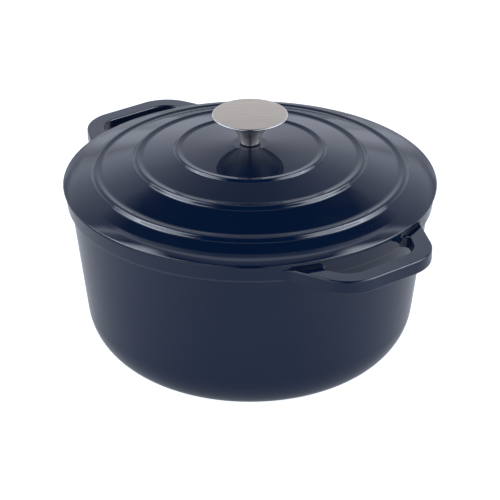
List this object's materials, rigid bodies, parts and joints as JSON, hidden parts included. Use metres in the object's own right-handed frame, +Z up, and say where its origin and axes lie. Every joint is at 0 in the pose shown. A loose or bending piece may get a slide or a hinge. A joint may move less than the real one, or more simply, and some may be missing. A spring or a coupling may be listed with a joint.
{
  "type": "dutch oven",
  "caption": "Round enamelled cast iron cooking pot with loop handles at the rim and a stepped lid that lifts off by a flared steel knob.",
  "frame": {"origin": "middle of the base, on the surface that the pot stands on", "axes": "+Z up along the pot's axis, +X along the line through both loop handles"},
  "size_m": [0.316, 0.26, 0.1776],
  "materials": {
    "enamel": "glossy navy enamel",
    "knob_steel": "fine brushed",
    "fastener_steel": "plain zinc",
    "gasket": "matte black"
  },
  "bodies": {
    "pot": {"pot": "enamel"},
    "lid": {"lid": "enamel", "knob_gasket": "gasket", "knob_body": "knob_steel", "knob_cap": "knob_steel", "knob_insert": "fastener_steel", "flat_washer": "fastener_steel", "lock_washer": "fastener_steel", "knob_screw": "fastener_steel"}
  },
  "joints": [
    {"name": "lid_lift", "type": "slide", "parent": "pot", "child": "lid", "axis": [0, 0, 1], "range_m": [0, 0.2]}
  ]
}
